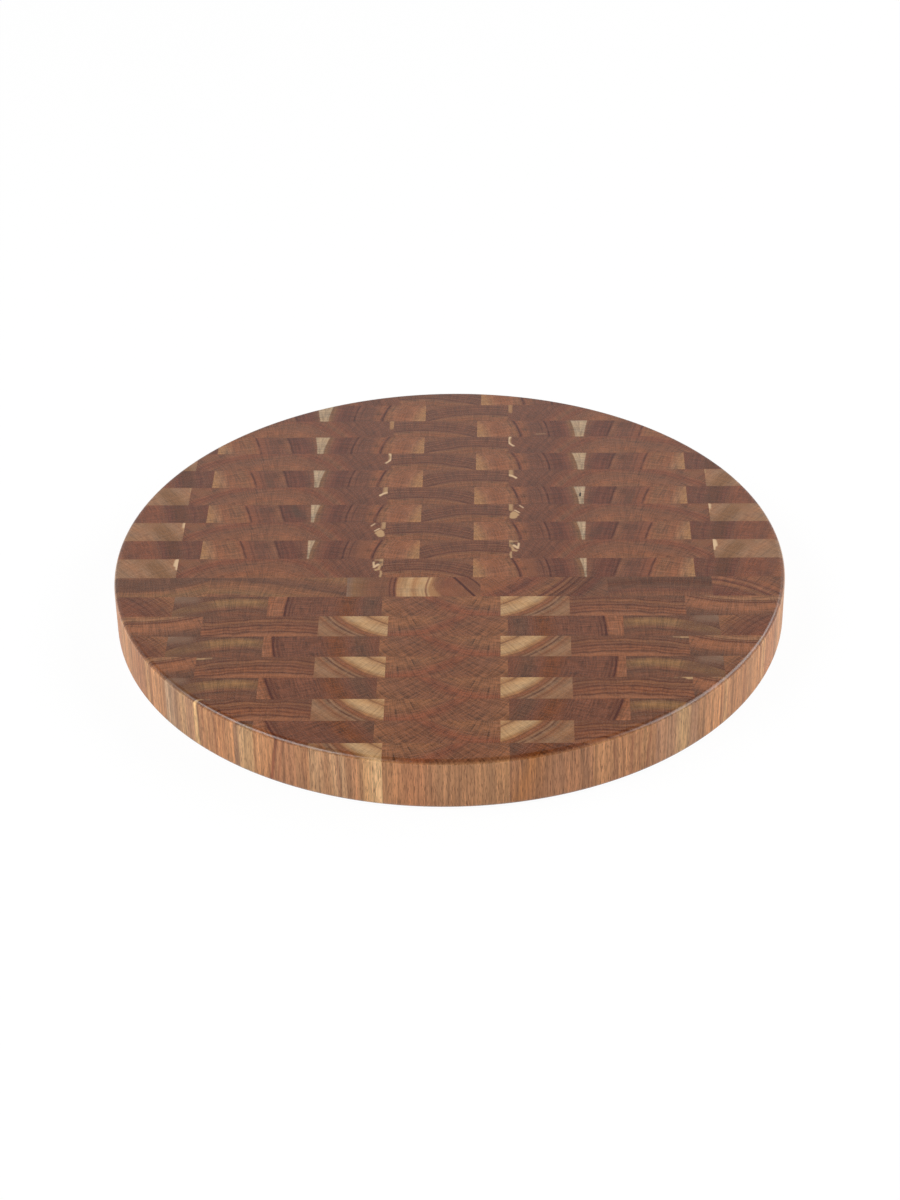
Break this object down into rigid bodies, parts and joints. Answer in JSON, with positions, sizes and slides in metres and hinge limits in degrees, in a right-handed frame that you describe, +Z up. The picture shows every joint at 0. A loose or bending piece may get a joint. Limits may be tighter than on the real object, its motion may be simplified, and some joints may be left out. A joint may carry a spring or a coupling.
{
  "type": "cutting board",
  "caption": "Round end-grain wooden cutting board: strips of glued wood blocks with their grain standing up, cut to a flat disc with eased edges.",
  "frame": {"origin": "centre of the underside, on the surface that the board lies on", "axes": "+Z up through the thickness, out of the cutting face; +X along the strips; +Y across the strips, towards the back row"},
  "size_m": [0.4, 0.4, 0.032],
  "materials": {
    "rear_left_staves": "oiled",
    "rear_middle_stave": "oiled",
    "rear_right_staves": "oiled",
    "middle_left_staves": "oiled",
    "middle_middle_stave": "oiled",
    "middle_right_staves": "oiled",
    "front_left_staves": "oiled",
    "front_middle_stave": "oiled",
    "front_right_staves": "oiled"
  },
  "bodies": {
    "root": {"row_01_left_run": "rear_right_staves", "row_01_middle_block": "rear_middle_stave", "row_01_right_run": "rear_left_staves", "row_02_left_run": "rear_left_staves", "row_02_middle_block": "rear_middle_stave", "row_02_right_run": "rear_right_staves", "row_03_left_run": "rear_right_staves", "row_03_middle_block": "rear_middle_stave", "row_03_right_run": "rear_left_staves", "row_04_left_run": "rear_left_staves", "row_04_middle_block": "rear_middle_stave", "row_04_right_run": "rear_right_staves", "row_05_left_run": "rear_right_staves", "row_05_middle_block": "rear_middle_stave", "row_05_right_run": "rear_left_staves", "row_06_left_run": "rear_left_staves", "row_06_middle_block": "rear_middle_stave", "row_06_right_run": "rear_right_staves", "row_07_left_run": "rear_right_staves", "row_07_middle_block": "rear_middle_stave", "row_07_right_run": "rear_left_staves", "row_08_left_run": "rear_left_staves", "row_08_middle_block": "rear_middle_stave", "row_08_right_run": "rear_right_staves", "row_09_left_run": "rear_right_staves", "row_09_middle_block": "rear_middle_stave", "row_09_right_run": "rear_left_staves", "row_10_left_run": "rear_left_staves", "row_10_middle_block": "rear_middle_stave", "row_10_right_run": "rear_right_staves", "row_11_left_run": "rear_right_staves", "row_11_middle_block": "rear_middle_stave", "row_11_right_run": "rear_left_staves", "row_12_left_run": "middle_left_staves", "row_12_middle_block": "middle_middle_stave", "row_12_right_run": "middle_right_staves", "row_13_left_run": "front_right_staves", "row_13_middle_block": "front_middle_stave", "row_13_right_run": "front_left_staves", "row_14_left_run": "front_left_staves", "row_14_middle_block": "front_middle_stave", "row_14_right_run": "front_right_staves", "row_15_left_run": "front_right_staves", "row_15_middle_block": "front_middle_stave", "row_15_right_run": "front_left_staves", "row_16_left_run": "front_left_staves", "row_16_middle_block": "front_middle_stave", "row_16_right_run": "front_right_staves", "row_17_left_run": "front_right_staves", "row_17_middle_block": "front_middle_stave", "row_17_right_run": "front_left_staves", "row_18_left_run": "front_left_staves", "row_18_middle_block": "front_middle_stave", "row_18_right_run": "front_right_staves", "row_19_left_run": "front_right_staves", "row_19_middle_block": "front_middle_stave", "row_19_right_run": "front_left_staves", "row_20_left_run": "front_left_staves", "row_20_middle_block": "front_middle_stave", "row_20_right_run": "front_right_staves"}
  },
  "joints": []
}
